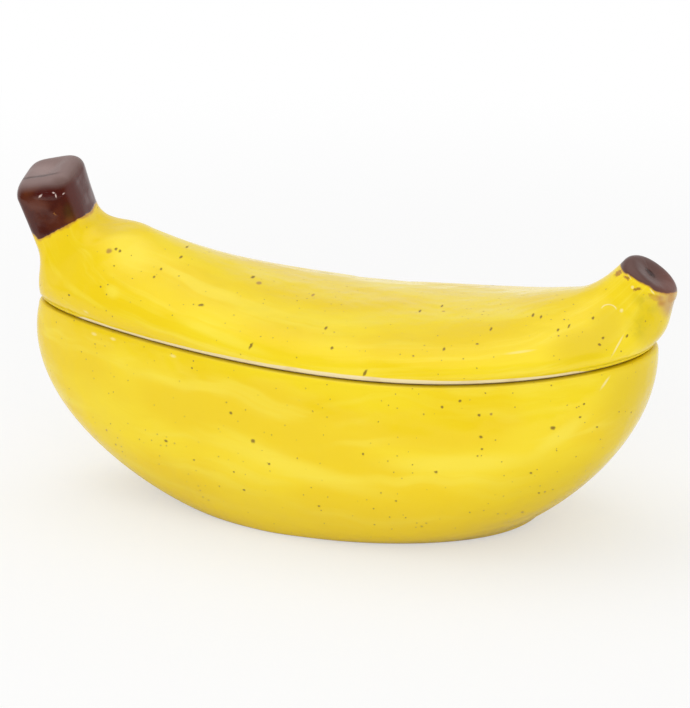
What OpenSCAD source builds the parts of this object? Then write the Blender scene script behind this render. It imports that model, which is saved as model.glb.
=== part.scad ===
// Covered box in the shape of a banana, in glazed ceramic: a deep dish, and a lid that lifts off it.
// Millimetres, +Z up. X runs from the stem to the blossom end, and the two sides in Y are alike.
// The origin lies on the ground, below the middle of the whole object's length.

/* [Rim] */
// Length of the dish's rim
rim_len = 205; // [180:1:240]
// Width of the rim at the belly, its widest and lowest place
rim_w = 84; // [70:1:100]
// Distance of the belly from the rim's stem end
belly_x = 122; // [105:1:135]
// Height of the rim above the ground at the belly
rim_h = 58; // [48:1:72]
// Rise of the rim from the belly to the stem end
rise_stem = 6.5; // [0:0.5:12]
// Rise of the rim from the belly to the blossom end
rise_tip = 6; // [0:0.5:12]
// Share by which the rim narrows toward the stem
taper_stem = 0.18; // [0:0.02:0.3]
// Share by which the rim narrows toward the blossom end, where less than none is fuller
taper_tip = -0.04; // [-0.1:0.02:0.2]

/* [Dish] */
// Wall of the dish at its rim
dish_wall = 4.5; // [3:0.5:6]
// Thickness of the dish's floor
floor_t = 5; // [3:0.5:8]
// Radius of the dish's outer edge
rim_round = 1.8; // [0.5:0.1:2]
// Radius of the dish's inner edge
rim_inner = 0.6; // [0.3:0.1:1]
// Slope of the wall where it leaves the foot, on the long sides
side_low = 3; // [0:1:30]
// Slope of the wall at the rim, on the long sides, where over 90 degrees leans in
side_high = 118; // [90:1:120]
// Slope of the wall where it leaves the foot, at the stem end
stem_low = 37; // [20:1:50]
// Slope of the wall at the rim, at the stem end
stem_high = 98; // [90:1:110]
// Slope of the wall where it leaves the foot, at the blossom end
tip_low = 58; // [20:1:60]
// Slope of the wall at the rim, at the blossom end
tip_high = 91; // [85:1:110]

/* [Foot] */
// Length of the foot
foot_len = 112; // [80:1:124]
// Width of the foot
foot_w = 65; // [44:1:68]
// Distance of the foot's middle from the rim's stem end
foot_x = 106; // [98:1:116]
// Width of the ring that the dish stands on
foot_ring = 5; // [3:0.5:8]
// Depth of the hollow inside that ring
foot_recess = 1.5; // [0.5:0.1:2.5]
// Width of the slope from the ring to that hollow
foot_slope = 1; // [0.5:0.1:2]
// Radius with which the wall turns up from the foot
foot_round = 10; // [4:1:14]

/* [Lid] */
// Wall of the lid
lid_wall = 4.5; // [3:0.5:5.5]
// Step in from the dish's rim to the lid's edge
lid_step = 1; // [0.5:0.1:2]
// Gap between the lid's edge and the rim
seat_gap = 0.3; // [0.2:0.05:0.5]
// Radius of the lid's lower edge
lip_round = 1.2; // [0.5:0.1:2]
// Height of the crown above the rim at the belly
crown_h = 12.8; // [12:0.1:24]
// Rise of the crown from the belly to the root of the stem
crown_rise_stem = 16.6; // [6:0.1:18]
// Rise of the crown from the belly to the root of the blossom end
crown_rise_tip = 4; // [1:0.1:8]
// Rise of the long soft ridges, two on the lid and two on the dish
ridge_h = 0.8; // [0:0.1:1.5]

/* [Flange] */
// Depth of the lid's inner flange below the rim
flange_h = 6; // [3:0.5:10]
// Thickness of the flange
flange_t = 3; // [2:0.5:4]
// Clearance between the flange and the dish's wall
flange_gap = 1; // [0.5:0.1:2]
// Size of the flange's rounded lower edge
flange_round = 0.8; // [0.3:0.1:1.2]

/* [Stem] */
// Width of the stem, along the banana
stem_w = 20; // [17:0.5:24]
// Thickness of the stem, across the banana
stem_d = 22; // [17:0.5:25]
// Length of the brown part of the stem, to the start of its round edge
stem_len = 14; // [8:0.5:18]
// Lean of the stem away from the vertical
stem_lean = 19.5; // [8:0.5:28]
// Slope of the stem's end face
stem_face = 13; // [4:1:24]
// Width of the round edge around the end face
stem_round = 4.5; // [2:0.5:7]
// Height over which that edge rounds off
stem_dome = 5; // [2:0.5:8]
// Depth of the hollow in the end face
stem_hollow = 1.2; // [0.2:0.1:2]
// Rise of the stem's face for each millimetre toward the back
stem_tilt = 0.22; // [0:0.02:0.3]
// Distance of the stem's base from the rim's stem end
stem_x = 8.9; // [7:0.1:14]
// Height of the stem's base above the rim's stem end
stem_z = 23.7; // [21:0.1:29]
// Distance from the rim's stem end to the root of the stem on the crown
stem_root = 38.5; // [30:0.5:42]

/* [Blossom end] */
// Width of the blossom end, along the banana
tip_w = 20; // [16:0.5:23]
// Thickness of the blossom end, across the banana
tip_d = 19.5; // [15:0.5:22]
// Slope of the end face
tip_face = 34.5; // [24:0.5:42]
// Lean of the neck's lower side away from the vertical, below the end
tip_low_lean = 14; // [0:1:30]
// Lean of the neck's upper side away from the vertical, below the end
tip_top_lean = 41; // [25:1:55]
// Lean of the neck's lower side away from the vertical, at the rim
tip_flare = 48.5; // [20:0.5:50]
// Radius of the edge around the end face
tip_round = 3; // [1.5:0.5:4]
// Depth of the hollow in the end face
tip_hollow = 1; // [0.4:0.1:2]
// Rise of the end face for each millimetre toward the back
tip_tilt = 0.1; // [0:0.02:0.2]
// Distance of the end's middle back from the rim's blossom end
tip_x = 2.7; // [0:0.1:8]
// Height of the end's middle above the rim's blossom end
tip_z = 19.7; // [17:0.1:26]
// Distance back from the rim's blossom end to the root of the tip on the crown
tip_root = 41; // [28:0.5:42]

/* [Hidden] */

glaze_yellow = [0.96, 0.84, 0.22];
glaze_light = [0.98, 0.87, 0.30];

// Steps around the dish, across the lid outside and inside, and along the lid between its two necks
dish_steps = 72;
lid_cols = 32;
hollow_cols = 20;
arches = 36;
wall_steps = 20;
neck_steps = 7;

// How late the crown rises toward the stem and toward the blossom end
crown_power_stem = 2.25;
crown_power_tip = 3;
// Share of a curve's chord that its handles reach
handle = 0.4;
// Reach of the handles with which the necks' upper lines leave the stem and the tip
stem_grip = 7.8;
tip_grip = 16.5;
// Angle from a root at which the crown's swelling is measured
near_angle = 15;
// Depth of the waist on each side of the brown part of the stem
stem_waist = 0.2;
// Shares of the turn at the foot where the dish has its loops
turn_shares = [0.4, 0.7, 1];
// Squareness of a section, where 2 is an ellipse
body_square = 2.05;
stem_square = 4.7;
tip_square = 2.1;
// Share of a section's lean at which it is widest
widest_at = 0.45;
// Slope of the ring at the stem's base
base_slope = 28.5;
// Place of the lid's ridges, in degrees down from the crown, and how far each spreads
ridge_at = 58;
ridge_spread = 24;
// Share of the dish's wall over which its ridge spreads to each side
ridge_reach = 0.22;
// Rows on each side of a root that are smoothed, and how many times
soft_rows = 3;
soft_times = 3;

// Curves

function mix(a, b, t) = a + (b - a) * t;
function ease(t) = t * t * (3 - 2 * t);
function spow(v, e) = sign(v) * pow(abs(v), e);
function bezier(a, b, c, d, t) =
    a * pow(1 - t, 3) + 3 * b * t * pow(1 - t, 2) + 3 * c * t * t * (1 - t) + d * pow(t, 3);
// A soft bump of height 1 around middle m, gone at m - r and m + r
function bump(v, m, r) = abs(v - m) < r ? pow(cos(90 * (v - m) / r), 2) : 0;

// Rim, by the angle a around it: 0 is the stem end, 90 the belly, 180 the blossom end

function reach(a) = cos(a) > 0 ? belly_x : rim_len - belly_x;
function taper(a) = 1 - (cos(a) > 0 ? taper_stem : taper_tip) * ease(abs(cos(a)));
function rim_x(a, inset) = belly_x - (reach(a) - inset) * cos(a);
function rim_y(a, inset) = (rim_w / 2 - inset) * sin(a) * taper(a);
function rim_z(a) = rim_h + (cos(a) > 0 ? rise_stem : rise_tip) * pow(cos(a), 2);
// Angle at which the rim passes the distance x from its stem end, and its half width there
function rim_angle(x) = acos(max(-1, min(1, (belly_x - x) / (x < belly_x ? belly_x : rim_len - belly_x))));
function half_width(x, inset) = rim_y(rim_angle(x), inset);

// Dish

function foot_xy(a, inset) =
    [foot_x - (foot_len / 2 - inset) * cos(a), (foot_w / 2 - inset) * sin(a)];
function wall_low(a) = mix(side_low, cos(a) > 0 ? stem_low : tip_low, pow(cos(a), 2));
function wall_high(a) = mix(side_high, cos(a) > 0 ? stem_high : tip_high, pow(cos(a), 2));
// The wall turns up from the foot to its low slope, here through the angle s
function turn_point(a, s, inset, z) =
    let(f = foot_xy(a, inset),
        r = [rim_x(a, 0), rim_y(a, 0)],
        p = f + foot_round * sin(s) * (r - f) / norm(r - f))
    [p.x, p.y, z + foot_round * (1 - cos(s))];
// It then is an arc from its low slope to its high slope: share of its width and of its height
function wall_out(s, lo, hi) = (sin(s) - sin(lo)) / (sin(hi) - sin(lo));
function wall_up(s, lo, hi) = (cos(lo) - cos(s)) / (cos(lo) - cos(hi));

// A point of the wall at angle a and share k of that arc, between a low and a high outline
function wall_point(a, k, low_inset, low_z, high_inset, high_drop, ridge) =
    let(lo = wall_low(a),
        hi = wall_high(a),
        s = mix(lo, hi, k),
        f = turn_point(a, lo, low_inset, low_z),
        r = [rim_x(a, high_inset), rim_y(a, high_inset), rim_z(a) - high_drop],
        width = norm([r.x - f.x, r.y - f.y]),
        out = wall_out(s, lo, hi) + ridge * bump(k, 0.5, ridge_reach) * pow(sin(a), 2) / width)
    [mix(f.x, r.x, out), mix(f.y, r.y, out), mix(f.z, r.z, wall_up(s, lo, hi))];
function dish_loop(f) = [for (i = [0:dish_steps - 1]) f(360 * i / dish_steps)];

floor_z = foot_recess + floor_t;
dish_loops = concat(
    // Underside: the hollow, the ring and the ground
    [dish_loop(function(a) concat(foot_xy(a, foot_w / 4), foot_recess)),
     dish_loop(function(a) concat(foot_xy(a, foot_ring + foot_slope), foot_recess)),
     dish_loop(function(a) concat(foot_xy(a, foot_ring), 0)),
     dish_loop(function(a) concat(foot_xy(a, 0), 0))],
    // Turn from the foot into the outer wall
    [for (k = turn_shares) dish_loop(function(a) turn_point(a, k * wall_low(a), 0, 0))],
    // Outer wall, up to the round edge
    [for (i = [1:wall_steps])
        dish_loop(function(a) wall_point(a, i / wall_steps, 0, 0, 0, rim_round, ridge_h))],
    // Round outer edge and flat rim
    [for (t = [30:30:90])
        dish_loop(function(a)
            let(in = rim_round * (1 - cos(t)))
            [rim_x(a, in), rim_y(a, in), rim_z(a) - rim_round * (1 - sin(t))])],
    [dish_loop(function(a)
        [rim_x(a, dish_wall - rim_inner), rim_y(a, dish_wall - rim_inner), rim_z(a)])],
    // Inner wall, down to the floor
    [for (i = [wall_steps:-2:0])
        dish_loop(function(a) wall_point(a, i / wall_steps, foot_slope, floor_z, dish_wall, rim_inner, 0))],
    [dish_loop(function(a) turn_point(a, wall_low(a) / 2, foot_slope, floor_z)),
     dish_loop(function(a) concat(foot_xy(a, foot_slope), floor_z)),
     dish_loop(function(a) concat(foot_xy(a, foot_w / 4), floor_z))]
);

// Two triangles over the corners a, b, c, d: divided from a to c, or else from b to d
function quad(a, b, c, d, from_a) = from_a ? [[a, b, c], [a, c, d]] : [[a, b, d], [b, c, d]];

module closed_loops(loops) {
    n = len(loops[0]);
    last = len(loops) - 1;
    points = [for (l = loops) each l];
    sides = [for (k = [0:last - 1], i = [0:n - 1])
        let(a = k * n + i, b = k * n + (i + 1) % n)
        each quad(a, b, b + n, a + n, true)];
    polyhedron(points, concat(sides, [[for (i = [n - 1:-1:0]) i]], [[for (i = [0:n - 1]) last * n + i]]));
}

// Lid

// A section is [bottom, top, half width, squareness, half width at the bottom, rise of its ridges, tilt].
// Bottom and top are [x, z], a closed ring has no width at the bottom, and the tilt is how far the section's
// back rises above its plane for each millimetre across the banana.
function crown_z(x) =
    let(t = x < belly_x ? (belly_x - x) / (belly_x - stem_root)
                        : (x - belly_x) / (rim_len - tip_root - belly_x))
    rim_h + crown_h + (x < belly_x ? crown_rise_stem * pow(t, crown_power_stem)
                                   : crown_rise_tip * pow(t, crown_power_tip));

function slant(c, slope, w, d, square, tilt) =
    let(v = [cos(slope), sin(slope)] * w / 2) [c - v, c + v, d / 2, square, 0, 0, tilt];

stem_end = [lid_step, rim_z(0)];
tip_end = [rim_len - lid_step, rim_z(180)];
stem_base = stem_end + [stem_x, stem_z];
stem_top = stem_base + stem_len * [-sin(stem_lean), cos(stem_lean)];
tip_mid = tip_end + [-tip_x, tip_z];

// Sections of a skin that lies depth inside the outer face, on a rim inset by edge, lift above the rim
function arch(a, depth, edge, lift) =
    let(bx = rim_x(a, edge),
        share = (1 - cos(a)) * 0.5,
        tx = mix(stem_root + depth, rim_len - tip_root - depth, (bx - edge) / (rim_len - 2 * edge)),
        wr = rim_y(a, edge),
        w = half_width(mix(bx, tx, widest_at), lid_step) - depth)
    [[bx, rim_z(a) + lift], [tx, crown_z(tx) - depth], max(w, wr), body_square, wr,
     depth > 0 ? 0 : ridge_h * pow(sin(a), 2), 0];

function ring(s, cols) =
    let(arc = 180 - asin(pow(min(1, s[4] / s[2]), s[3] / 2)),
        low = pow(abs(cos(arc)), 2 / s[3]),
        half = (s[1] - s[0]) / (1 + low),
        c = s[0] + half * low,
        up = half / norm(half),
        side = [-up.y, up.x])
    [for (j = [0:cols])
        let(f = arc * (2 * j / cols - 1),
            r = s[5] * bump(abs(f), ridge_at, ridge_spread),
            y = s[2] * spow(sin(f), 2 / s[3]) + r * sin(f),
            h = c + half * spow(cos(f), 2 / s[3]) + up * r * cos(f) + side * s[6] * y)
        [h.x, y, h.y]];

// A neck runs from a stem's or tip's section to the root section: lows and tops are the directions that its
// bottom and its top line leave the one with and reach the other with, grip is the reach of the top line's
// first handle, and swell is the half width gained at the root for each step along the crown
function neck(from, to, lows, tops, grip, swell, t) =
    let(reach_low = handle * norm(to[0] - from[0]),
        reach_top = handle * norm(to[1] - from[1]))
    [bezier(from[0], from[0] + reach_low * lows[0], to[0] - reach_low * lows[1], to[0], t),
     bezier(from[1], from[1] + grip * tops[0], to[1] - reach_top * tops[1], to[1], t),
     bezier(from[2], from[2], to[2] - swell * reach_top, to[2], t),
     mix(from[3], to[3], t), 0, 0, from[6] * pow(1 - t, 2)];

function crown_dir(x) = let(d = [1, crown_z(x + 1) - crown_z(x)]) d / norm(d);

function stem_section(k, depth) =
    slant(mix(stem_base, stem_top, k), mix(base_slope, stem_face, k),
          stem_w - 2 * depth - 2 * stem_waist * sin(180 * k), stem_d - 2 * depth, stem_square, stem_tilt);
function tip_section(depth) =
    slant(tip_mid - depth * [sin(tip_face), cos(tip_face)], 180 - tip_face,
          tip_w - 2 * depth, tip_d - 2 * depth, tip_square, -tip_tilt);

// The end of a neck beyond section s: a round edge r wide and rise high, then a shallow hollow in the face,
// which turns from the section's outline to a round one toward its middle
function end_cap(s, r, rise, hollow) =
    let(v = s[1] - s[0],
        c = (s[0] + s[1]) / 2,
        u = v / norm(v),
        n = u.x > 0 ? [-u.y, u.x] : [u.y, -u.x],
        h = norm(v) / 2,
        face = function(inset, out, square) [c - u * (h - inset) + n * out, c + u * (h - inset) + n * out,
            s[2] - inset, square, 0, 0, s[6]])
    concat([for (t = [22.5:22.5:90]) face(r * (1 - cos(t)), rise * sin(t), s[3])],
           [for (q = [0.25, 0.5, 0.75, 0.9])
               face(mix(r, min(h, s[2]), q), rise - hollow * ease(q), mix(s[3], 2, q))]);

function reverse(l) = [for (i = [len(l) - 1:-1:0]) l[i]];

function skin(depth, edge, lift) =
    let(root_a = arch(0, depth, edge, lift),
        root_b = arch(180, depth, edge, lift),
        stem = stem_section(0, depth),
        tip = tip_section(depth),
        near_a = arch(near_angle, depth, edge, lift),
        near_b = arch(180 - near_angle, depth, edge, lift),
        swell_a = (near_a[2] - root_a[2]) / (near_a[1].x - root_a[1].x),
        swell_b = (near_b[2] - root_b[2]) / (root_b[1].x - near_b[1].x),
        down = [sin(stem_lean), -cos(stem_lean)],
        back = function(lean) -[sin(lean), cos(lean)])
    concat([for (i = [0:neck_steps - 1])
                neck(stem, root_a, [down, [0, -1]], [down, crown_dir(root_a[1].x)], stem_grip, swell_a,
                     i / neck_steps)],
           [for (i = [0:arches]) arch(180 * i / arches, depth, edge, lift)],
           [for (i = [neck_steps - 1:-1:0])
                neck(tip, root_b, [back(tip_low_lean), back(tip_flare)],
                     [back(tip_top_lean), -crown_dir(root_b[1].x)], tip_grip, swell_b, i / neck_steps)]);

stem_rings = concat(
    reverse(end_cap(stem_section(1, 0), stem_round, stem_dome, stem_hollow)),
    [stem_section(1, 0), stem_section(0.5, 0)]);
outer = concat(
    stem_rings,
    skin(0, lid_step, seat_gap + lip_round),
    end_cap(tip_section(0), tip_round, tip_round, tip_hollow));
first_arch = len(stem_rings) + neck_steps;

flange_out = dish_wall + flange_gap;
flange_in = flange_out + flange_t;
hollow = skin(lid_wall, flange_in, 0);

// Rings with their rows near the two roots drawn toward each other, which takes the crease out there
function near_root(i, first) = min(abs(i - first), abs(i - first - arches)) <= soft_rows;
function soften(rings, first, times) = times == 0 ? rings :
    soften([for (i = [0:len(rings) - 1]) !near_root(i, first) ? rings[i] :
        [for (j = [0:len(rings[i]) - 1])
            j == 0 || j == len(rings[i]) - 1 ? rings[i][j] :
            rings[i][j] / 2 + (rings[i - 1][j] + rings[i + 1][j]) / 4]], first, times - 1);

// Loops under the lid, from its outer face to its hollow: round edge, seat, flange
function under_loop(inset, z) =
    [for (i = [0:2 * arches - 1])
        let(a = 180 * i / arches) [rim_x(a, inset), rim_y(a, inset), rim_z(a) + z]];
under = concat(
    [for (t = [30:30:90])
        under_loop(lid_step + lip_round * (1 - cos(t)), seat_gap + lip_round * (1 - sin(t)))],
    [under_loop(flange_out, seat_gap),
     under_loop(flange_out, flange_round - flange_h),
     under_loop(flange_out + flange_round, -flange_h),
     under_loop(flange_in - flange_round, -flange_h),
     under_loop(flange_in, flange_round - flange_h)]);

module lid_shell() {
    co = lid_cols + 1;
    ch = hollow_cols + 1;
    outer_pts = [for (r = soften([for (s = outer) ring(s, lid_cols)], first_arch, soft_times)) each r];
    hollow_pts = [for (r = soften([for (s = hollow) ring(s, hollow_cols)], neck_steps, soft_times)) each r];
    under_pts = [for (l = under) each l];
    h0 = len(outer_pts);
    u0 = h0 + len(hollow_pts);
    n = 2 * arches;
    // A closed ring's last point is its first
    at_o = function(i, j) i * co + (outer[i][4] < 0.001 && j == lid_cols ? 0 : j);
    at_h = function(i, j) h0 + i * ch + (hollow[i][4] < 0.001 && j == hollow_cols ? 0 : j);
    edge_o = [for (i = [0:n - 1])
        i <= arches ? at_o(first_arch + i, lid_cols) : at_o(first_arch + n - i, 0)];
    edge_h = [for (i = [0:n - 1])
        i <= arches ? at_h(neck_steps + i, hollow_cols) : at_h(neck_steps + n - i, 0)];
    rows = concat([edge_o], [for (k = [0:len(under) - 1]) [for (i = [0:n - 1]) u0 + k * n + i]], [edge_h]);
    last_o = len(outer) - 1;
    last_h = len(hollow) - 1;
    // The two sides are divided alike, so that one is the other's mirror image
    outer_faces = [for (i = [0:last_o - 1], j = [0:lid_cols - 1])
        each quad(at_o(i, j), at_o(i, j + 1), at_o(i + 1, j + 1), at_o(i + 1, j), j < lid_cols / 2)];
    hollow_faces = [for (i = [0:last_h - 1], j = [0:hollow_cols - 1])
        each quad(at_h(i, j), at_h(i + 1, j), at_h(i + 1, j + 1), at_h(i, j + 1), j < hollow_cols / 2)];
    under_faces = [for (k = [0:len(rows) - 2], i = [0:n - 1])
        let(m = (i + 1) % n)
        each quad(rows[k][i], rows[k + 1][i], rows[k + 1][m], rows[k][m], true)];
    ends = [[for (j = [lid_cols - 1:-1:0]) j],
            [for (j = [0:lid_cols - 1]) at_o(last_o, j)],
            [for (j = [0:hollow_cols - 1]) at_h(0, j)],
            [for (j = [hollow_cols - 1:-1:0]) at_h(last_h, j)]];
    polyhedron(concat(outer_pts, hollow_pts, under_pts),
               concat(outer_faces, hollow_faces, under_faces, ends));
}

// Middle of the whole length, which comes to the origin
lid_xs = [for (s = outer, p = ring(s, lid_cols)) p.x];
mid_x = (min(lid_xs) + max(lid_xs)) / 2;

module base_dish() {
    color(glaze_light) translate([-mid_x, 0, 0]) closed_loops(dish_loops);
}

module lid() {
    color(glaze_yellow) translate([-mid_x, 0, 0]) lid_shell();
}

base_dish();
lid();
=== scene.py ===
# A covered box in the shape of a banana, in speckled yellow glaze, with its lid loose on the dish.
import bpy
import math
import numpy as np
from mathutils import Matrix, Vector
from mathutils.bvhtree import BVHTree


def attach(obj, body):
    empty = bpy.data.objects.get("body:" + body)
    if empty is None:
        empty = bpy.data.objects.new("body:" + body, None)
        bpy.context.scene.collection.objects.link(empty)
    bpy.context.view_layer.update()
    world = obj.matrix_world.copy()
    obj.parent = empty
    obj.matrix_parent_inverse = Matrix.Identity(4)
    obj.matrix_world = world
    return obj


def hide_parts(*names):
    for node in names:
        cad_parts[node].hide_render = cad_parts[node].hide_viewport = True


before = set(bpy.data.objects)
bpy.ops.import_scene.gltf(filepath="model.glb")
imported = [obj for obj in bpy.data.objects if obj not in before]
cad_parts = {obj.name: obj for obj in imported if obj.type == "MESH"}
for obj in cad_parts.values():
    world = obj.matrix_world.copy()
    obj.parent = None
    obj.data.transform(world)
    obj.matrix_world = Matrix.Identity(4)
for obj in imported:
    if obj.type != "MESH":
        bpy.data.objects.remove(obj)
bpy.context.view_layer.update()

# Sizes in millimetres and angles in degrees, as in the CAD source
RIM_LEN, RIM_W, BELLY_X, RIM_H = 205, 84, 122, 58
RISE_STEM, RISE_TIP, TAPER_STEM, TAPER_TIP = 6.5, 6, 0.18, -0.04
DISH_WALL, FLOOR_T, RIM_ROUND, RIM_INNER = 4.5, 5, 1.8, 0.6
SIDE_LOW, SIDE_HIGH, STEM_LOW, STEM_HIGH, TIP_LOW, TIP_HIGH = 3, 118, 37, 98, 58, 91
FOOT_LEN, FOOT_W, FOOT_X, FOOT_RING, FOOT_RECESS, FOOT_SLOPE, FOOT_ROUND = 112, 65, 106, 5, 1.5, 1, 10
LID_WALL, LID_STEP, SEAT_GAP, LIP_ROUND = 4.5, 1, 0.3, 1.2
CROWN_H, CROWN_RISE_STEM, CROWN_RISE_TIP = 12.8, 16.6, 4
CROWN_POWER_STEM, CROWN_POWER_TIP = 2.25, 3
RIDGE_H, RIDGE_AT, RIDGE_SPREAD, RIDGE_REACH = 0.8, 58, 24, 0.22
FLANGE_H, FLANGE_T, FLANGE_GAP, FLANGE_ROUND = 6, 3, 1, 0.8
STEM_W, STEM_D, STEM_LEN, STEM_LEAN, STEM_FACE, STEM_TILT = 20, 22, 14, 19.5, 13, 0.22
STEM_ROUND, STEM_DOME, STEM_HOLLOW, STEM_WAIST = 4.5, 5, 1.2, 0.2
STEM_X, STEM_Z, STEM_ROOT, STEM_GRIP, BASE_SLOPE = 8.9, 23.7, 38.5, 7.8, 28.5
TIP_W, TIP_D, TIP_FACE, TIP_LOW_LEAN, TIP_TOP_LEAN, TIP_FLARE, TIP_TILT = 20, 19.5, 34.5, 14, 41, 48.5, 0.1
TIP_ROUND, TIP_HOLLOW, TIP_X, TIP_Z, TIP_ROOT, TIP_GRIP = 3, 1, 2.7, 19.7, 41, 16.5
HANDLE, BODY_SQUARE, STEM_SQUARE, TIP_SQUARE = 0.4, 2.05, 4.7, 2.1
WIDEST_AT, NEAR_ANGLE = 0.45, 15
MM = 0.001

# Set on the photograph, beyond the solids: the stem's front corner toward the blossom end is rounder, so its
# squareness is kept down to this, and the seam lies lower by so much at the belly and at the two ends
STEM_SOFT_CORNER, SEAM_DIP, SEAM_END_DIP = 3.1, 0.9, 1.5

# How finely the dish is drawn: points around it, rows up its wall and on the turn from its foot
AROUND, WALL_ROWS, TURN_ROWS = 240, 56, 8
# How finely the lid is drawn: its arches, points on an arch outside and inside, and rows of each other part
ARCHES, COLS, HOLLOW_COLS = 160, 112, 48
NECK_ROWS, CAP_ROWS, FACE_ROWS, STEM_ROWS, LIP_ROWS = 26, 10, 10, 8, 6
# How near to its middle a foot is drawn, in millimetres, and an end face, as a share
MIDDLE_R, FACE_REACH = 0.5, 0.97
# Softening where the necks meet the body: rows to each side, passes, and how far one pass draws a row
SOFT_ROWS, SOFT_TIMES, SOFT_SHARE = 12, 14, 0.5


# Curves

def sin(a):
    return math.sin(math.radians(a))


def cos(a):
    return math.cos(math.radians(a))


def mix(a, b, t):
    return a + (b - a) * t


def ease(t):
    return t * t * (3 - 2 * t)


def spow(v, e):
    return np.sign(v) * np.abs(v) ** e


def bezier(a, b, c, d, t):
    s = 1 - t
    return a * s ** 3 + 3 * b * t * s * s + 3 * c * t * t * s + d * t ** 3


def bump(v, m, r):
    return np.where(np.abs(v - m) < r, np.cos(np.radians(90 * (v - m) / r)) ** 2, 0)


def unit(v):
    return v / np.linalg.norm(v)


# Rim, by the angle a around it: 0 is the stem end, 90 the belly, 180 the blossom end

def rim_x(a, inset):
    return BELLY_X - ((BELLY_X if cos(a) > 0 else RIM_LEN - BELLY_X) - inset) * cos(a)


def rim_y(a, inset):
    taper = TAPER_STEM if cos(a) > 0 else TAPER_TIP
    return (RIM_W / 2 - inset) * sin(a) * (1 - taper * ease(abs(cos(a))))


def rim_z(a):
    rise = (RISE_STEM if cos(a) > 0 else RISE_TIP) * cos(a) ** 2
    return RIM_H + rise - SEAM_DIP * sin(a) ** 2 - SEAM_END_DIP * cos(a) ** 4


def half_width(x, inset):
    c = (BELLY_X - x) / (BELLY_X if x < BELLY_X else RIM_LEN - BELLY_X)
    return rim_y(math.degrees(math.acos(max(-1, min(1, c)))), inset)


def rim_point(a, inset, z):
    return [rim_x(a, inset), rim_y(a, inset), rim_z(a) + z]


# Dish

def foot_point(a, inset, z):
    return [FOOT_X - (FOOT_LEN / 2 - inset) * cos(a), (FOOT_W / 2 - inset) * sin(a), z]


def wall_low(a):
    return mix(SIDE_LOW, STEM_LOW if cos(a) > 0 else TIP_LOW, cos(a) ** 2)


def wall_high(a):
    return mix(SIDE_HIGH, STEM_HIGH if cos(a) > 0 else TIP_HIGH, cos(a) ** 2)


def turn_point(a, s, inset, z):
    f = np.array(foot_point(a, inset, z))
    way = unit(np.array([rim_x(a, 0), rim_y(a, 0), z]) - f)
    return f + FOOT_ROUND * sin(s) * way + [0, 0, FOOT_ROUND * (1 - cos(s))]


def wall_point(a, k, low_inset, low_z, high_inset, high_drop, ridge):
    lo, hi = wall_low(a), wall_high(a)
    s = mix(lo, hi, k)
    f = turn_point(a, lo, low_inset, low_z)
    r = np.array(rim_point(a, high_inset, -high_drop))
    width = math.hypot(r[0] - f[0], r[1] - f[1])
    out = (sin(s) - sin(lo)) / (sin(hi) - sin(lo)) + ridge * bump(k, 0.5, RIDGE_REACH) * sin(a) ** 2 / width
    up = (cos(lo) - cos(s)) / (cos(lo) - cos(hi))
    return [mix(f[0], r[0], out), mix(f[1], r[1], out), mix(f[2], r[2], up)]


FLOOR_Z = FOOT_RECESS + FLOOR_T
OUTSIDE, BARE, INSIDE = 0, 1, 2
# How far the foot's bare ring stays inside the foot's edges, and the share of the height that its turn takes
BARE_EDGE, TURN_SHARE = 0.5, 0.1


def dish_loops():
    """Loops from the underside's middle to the floor's: function of the angle, region, share of the height"""
    loops = []
    middle = FOOT_W / 2 - MIDDLE_R

    def add(f, region, k):
        loops.append((f, region, k))

    for q in (0.02, 0.25, 0.5, 0.8):
        inset = mix(middle, FOOT_RING + FOOT_SLOPE, q)
        add(lambda a, i=inset: foot_point(a, i, FOOT_RECESS), OUTSIDE, 0)
    for t in (0, 0.5, 1):
        inset = FOOT_RING + FOOT_SLOPE * (1 - t)
        z = FOOT_RECESS * (1 - ease(t))
        add(lambda a, i=inset, z=z: foot_point(a, i, z), OUTSIDE, 0)
    add(lambda a: foot_point(a, FOOT_RING - BARE_EDGE, 0), BARE, 0)
    for t in (0, 0.3, 0.6):
        inset = mix(FOOT_RING - 2 * BARE_EDGE, BARE_EDGE, t)
        add(lambda a, i=inset: foot_point(a, i, 0), BARE, 0)
    add(lambda a: turn_point(a, 0, 0, 0), BARE, 0)
    for i in range(1, TURN_ROWS + 1):
        k = i / TURN_ROWS
        add(lambda a, k=k: turn_point(a, k * wall_low(a), 0, 0), OUTSIDE, TURN_SHARE * k)
    for i in range(1, WALL_ROWS + 1):
        k = i / WALL_ROWS
        share = mix(TURN_SHARE, 1, k)
        add(lambda a, k=k: wall_point(a, k, 0, 0, 0, RIM_ROUND, RIDGE_H), OUTSIDE, share)
    for t in (15, 30, 45, 60, 75, 90):
        inset = RIM_ROUND * (1 - cos(t))
        drop = RIM_ROUND * (1 - sin(t))
        add(lambda a, i=inset, d=drop: rim_point(a, i, -d), OUTSIDE, 1)
    for q in (0.3, 0.6, 1):
        inset = mix(RIM_ROUND, DISH_WALL - RIM_INNER, q)
        add(lambda a, i=inset: rim_point(a, i, 0), BARE, 1)
    for t in (30, 60):
        inset = DISH_WALL - RIM_INNER * (1 - sin(t))
        add(lambda a, i=inset, t=t: rim_point(a, i, -RIM_INNER * (1 - cos(t))), BARE, 1)
    for i in range(WALL_ROWS, -1, -2):
        k = i / WALL_ROWS
        add(lambda a, k=k: wall_point(a, k, FOOT_SLOPE, FLOOR_Z, DISH_WALL, RIM_INNER, 0), INSIDE, k)
    for i in range(TURN_ROWS - 2, -1, -2):
        k = i / TURN_ROWS
        add(lambda a, k=k: turn_point(a, k * wall_low(a), FOOT_SLOPE, FLOOR_Z), INSIDE, 0)
    for q in (0.7, 0.4, 0.15, 0.02):
        inset = mix(middle, FOOT_SLOPE, q)
        add(lambda a, i=inset: foot_point(a, i, FLOOR_Z), INSIDE, 0)
    return loops


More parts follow.
